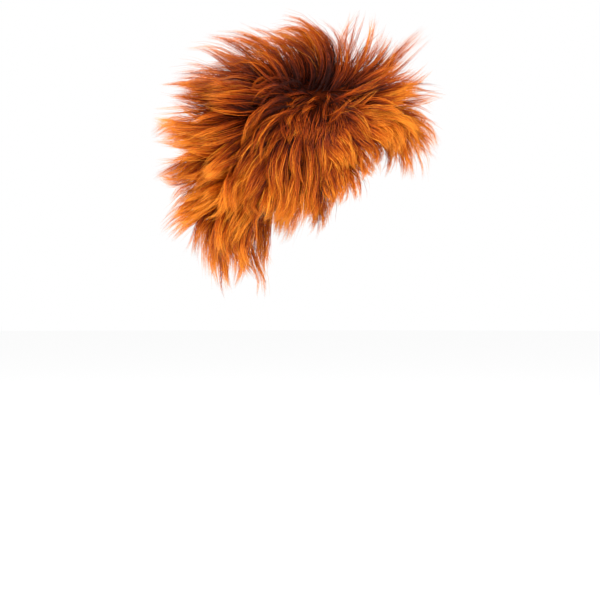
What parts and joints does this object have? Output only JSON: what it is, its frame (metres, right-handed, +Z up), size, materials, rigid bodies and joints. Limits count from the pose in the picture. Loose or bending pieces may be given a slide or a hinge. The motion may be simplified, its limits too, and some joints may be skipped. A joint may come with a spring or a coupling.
{
  "type": "faux hawk wig",
  "caption": "Short layered wig with a spiky crest, a forward fringe and flicked back, on a fitted stretch cap that is open below for a head.",
  "frame": {"origin": "the point of the cap's inside that rests on the crown of the head", "axes": "+X the way the wearer faces, +Y towards the wearer's left, +Z up"},
  "size_m": [0.3202, 0.2356, 0.3108],
  "materials": {
    "cap": "stretch net, matte",
    "hair": "synthetic hair fibre, soft sheen"
  },
  "bodies": {
    "root": {"cap": "cap", "crest": "hair", "fringe": "hair", "back_hair": "hair", "nape_hair": "hair", "right_side_hair": "hair", "left_side_hair": "hair"}
  },
  "joints": []
}
